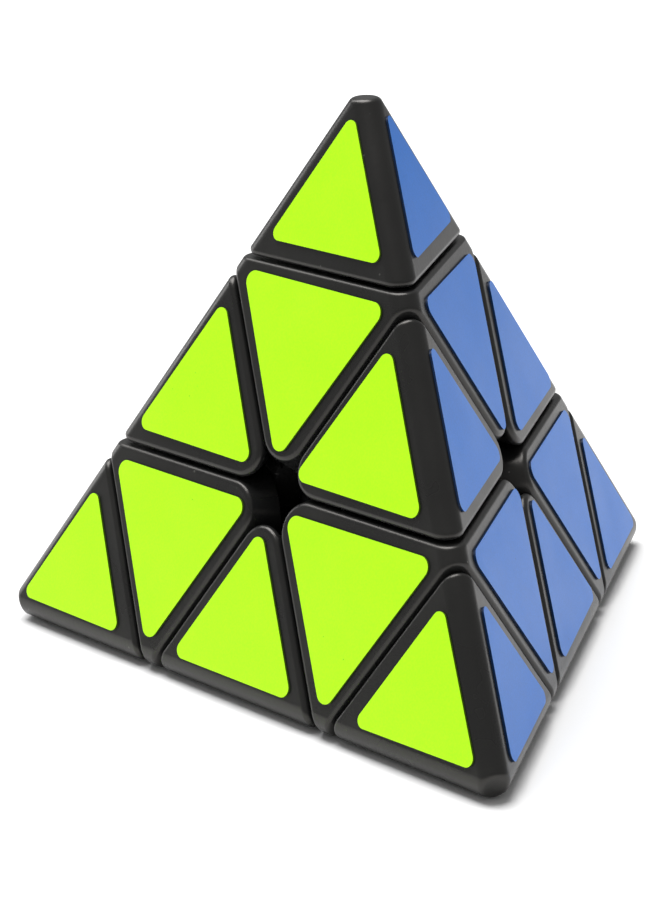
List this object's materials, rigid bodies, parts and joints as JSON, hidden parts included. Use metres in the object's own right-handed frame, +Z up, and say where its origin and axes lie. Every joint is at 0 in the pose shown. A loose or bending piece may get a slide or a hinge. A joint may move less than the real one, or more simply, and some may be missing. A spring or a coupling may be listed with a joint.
{
  "type": "pyramid twisty puzzle",
  "caption": "Tetrahedral twist puzzle with stickered faces. Corner layers and small corner tips turn on a spring-loaded core and carry loose edge pieces between them.",
  "frame": {"origin": "centre of the core, where the turning axes of all corner layers cross", "axes": "+Z up through the top corner, square to the base face; +X to the right and -Y towards the front corner"},
  "size_m": [0.0976, 0.0852, 0.0804],
  "materials": {
    "black_plastic": "semi-gloss moulded black",
    "core_plastic": "moulded dark grey",
    "steel": "plain",
    "green_sticker": "printed film, bright yellow-green",
    "blue_sticker": "printed film, blue",
    "red_sticker": "printed film, red",
    "yellow_sticker": "printed film, yellow"
  },
  "bodies": {
    "core": {"core_hub": "core_plastic", "tension_screws": "steel", "tension_springs": "steel", "screw_washers": "steel"},
    "top_layer": {"corner_block_top": "black_plastic", "block_sticker_top_green": "green_sticker", "block_sticker_top_blue": "blue_sticker", "block_sticker_top_red": "red_sticker"},
    "top_tip": {"tip_shell_top": "black_plastic", "tip_stem_top": "black_plastic", "tip_sticker_top_green": "green_sticker", "tip_sticker_top_blue": "blue_sticker", "tip_sticker_top_red": "red_sticker"},
    "front_layer": {"corner_block_front": "black_plastic", "block_sticker_front_green": "green_sticker", "block_sticker_front_blue": "blue_sticker", "block_sticker_front_yellow": "yellow_sticker"},
    "front_tip": {"tip_shell_front": "black_plastic", "tip_stem_front": "black_plastic", "tip_sticker_front_green": "green_sticker", "tip_sticker_front_blue": "blue_sticker", "tip_sticker_front_yellow": "yellow_sticker"},
    "right_layer": {"corner_block_right": "black_plastic", "block_sticker_right_blue": "blue_sticker", "block_sticker_right_red": "red_sticker", "block_sticker_right_yellow": "yellow_sticker"},
    "right_tip": {"tip_shell_right": "black_plastic", "tip_stem_right": "black_plastic", "tip_sticker_right_blue": "blue_sticker", "tip_sticker_right_red": "red_sticker", "tip_sticker_right_yellow": "yellow_sticker"},
    "left_layer": {"corner_block_left": "black_plastic", "block_sticker_left_green": "green_sticker", "block_sticker_left_red": "red_sticker", "block_sticker_left_yellow": "yellow_sticker"},
    "left_tip": {"tip_shell_left": "black_plastic", "tip_stem_left": "black_plastic", "tip_sticker_left_green": "green_sticker", "tip_sticker_left_red": "red_sticker", "tip_sticker_left_yellow": "yellow_sticker"},
    "top_front_edge": {"edge_piece_top_front": "black_plastic", "edge_sticker_top_front_green": "green_sticker", "edge_sticker_top_front_blue": "blue_sticker"},
    "top_right_edge": {"edge_piece_top_right": "black_plastic", "edge_sticker_top_right_blue": "blue_sticker", "edge_sticker_top_right_red": "red_sticker"},
    "top_left_edge": {"edge_piece_top_left": "black_plastic", "edge_sticker_top_left_green": "green_sticker", "edge_sticker_top_left_red": "red_sticker"},
    "front_right_edge": {"edge_piece_front_right": "black_plastic", "edge_sticker_front_right_blue": "blue_sticker", "edge_sticker_front_right_yellow": "yellow_sticker"},
    "right_left_edge": {"edge_piece_right_left": "black_plastic", "edge_sticker_right_left_red": "red_sticker", "edge_sticker_right_left_yellow": "yellow_sticker"},
    "left_front_edge": {"edge_piece_left_front": "black_plastic", "edge_sticker_left_front_green": "green_sticker", "edge_sticker_left_front_yellow": "yellow_sticker"}
  },
  "joints": [
    {"name": "top_layer_turn", "type": "hinge", "parent": "core", "child": "top_layer", "pos_m": [0, 0, 0], "axis": [0, 0, 1], "range_deg": [-120, 240]},
    {"name": "top_tip_turn", "type": "hinge", "parent": "top_layer", "child": "top_tip", "pos_m": [0, 0, 0], "axis": [0, 0, 1], "continuous": true},
    {"name": "front_layer_turn", "type": "hinge", "parent": "core", "child": "front_layer", "pos_m": [0, 0, 0], "axis": [0, -0.9428, -0.3333], "range_deg": [-120, 240]},
    {"name": "front_tip_turn", "type": "hinge", "parent": "front_layer", "child": "front_tip", "pos_m": [0, 0, 0], "axis": [0, -0.9428, -0.3333], "continuous": true},
    {"name": "right_layer_turn", "type": "hinge", "parent": "core", "child": "right_layer", "pos_m": [0, 0, 0], "axis": [0.8165, 0.4714, -0.3333], "range_deg": [-120, 240]},
    {"name": "right_tip_turn", "type": "hinge", "parent": "right_layer", "child": "right_tip", "pos_m": [0, 0, 0], "axis": [0.8165, 0.4714, -0.3333], "continuous": true},
    {"name": "left_layer_turn", "type": "hinge", "parent": "core", "child": "left_layer", "pos_m": [0, 0, 0], "axis": [-0.8165, 0.4714, -0.3333], "range_deg": [-120, 240]},
    {"name": "left_tip_turn", "type": "hinge", "parent": "left_layer", "child": "left_tip", "pos_m": [0, 0, 0], "axis": [-0.8165, 0.4714, -0.3333], "continuous": true},
    {"name": "top_front_edge_turn", "type": "hinge", "parent": "top_layer", "child": "top_front_edge", "pos_m": [0, 0, 0], "axis": [0, -0.9428, -0.3333], "range_deg": [-120, 240]},
    {"name": "top_right_edge_turn", "type": "hinge", "parent": "right_layer", "child": "top_right_edge", "pos_m": [0, 0, 0], "axis": [0, 0, 1], "range_deg": [-120, 240]},
    {"name": "top_left_edge_turn", "type": "hinge", "parent": "top_layer", "child": "top_left_edge", "pos_m": [0, 0, 0], "axis": [-0.8165, 0.4714, -0.3333], "range_deg": [-120, 240]},
    {"name": "front_right_edge_turn", "type": "hinge", "parent": "right_layer", "child": "front_right_edge", "pos_m": [0, 0, 0], "axis": [0, -0.9428, -0.3333], "range_deg": [-120, 240]},
    {"name": "right_left_edge_turn", "type": "hinge", "parent": "left_layer", "child": "right_left_edge", "pos_m": [0, 0, 0], "axis": [0.8165, 0.4714, -0.3333], "range_deg": [-120, 240]},
    {"name": "left_front_edge_turn", "type": "hinge", "parent": "left_layer", "child": "left_front_edge", "pos_m": [0, 0, 0], "axis": [0, -0.9428, -0.3333], "range_deg": [-120, 240]}
  ],
  "couplings": [
    {"joint": "top_front_edge_turn", "follows": "front_layer_turn", "ratio": 1},
    {"joint": "top_right_edge_turn", "follows": "top_layer_turn", "ratio": 1},
    {"joint": "top_left_edge_turn", "follows": "left_layer_turn", "ratio": 1},
    {"joint": "front_right_edge_turn", "follows": "front_layer_turn", "ratio": 1},
    {"joint": "right_left_edge_turn", "follows": "right_layer_turn", "ratio": 1},
    {"joint": "left_front_edge_turn", "follows": "front_layer_turn", "ratio": 1}
  ]
}
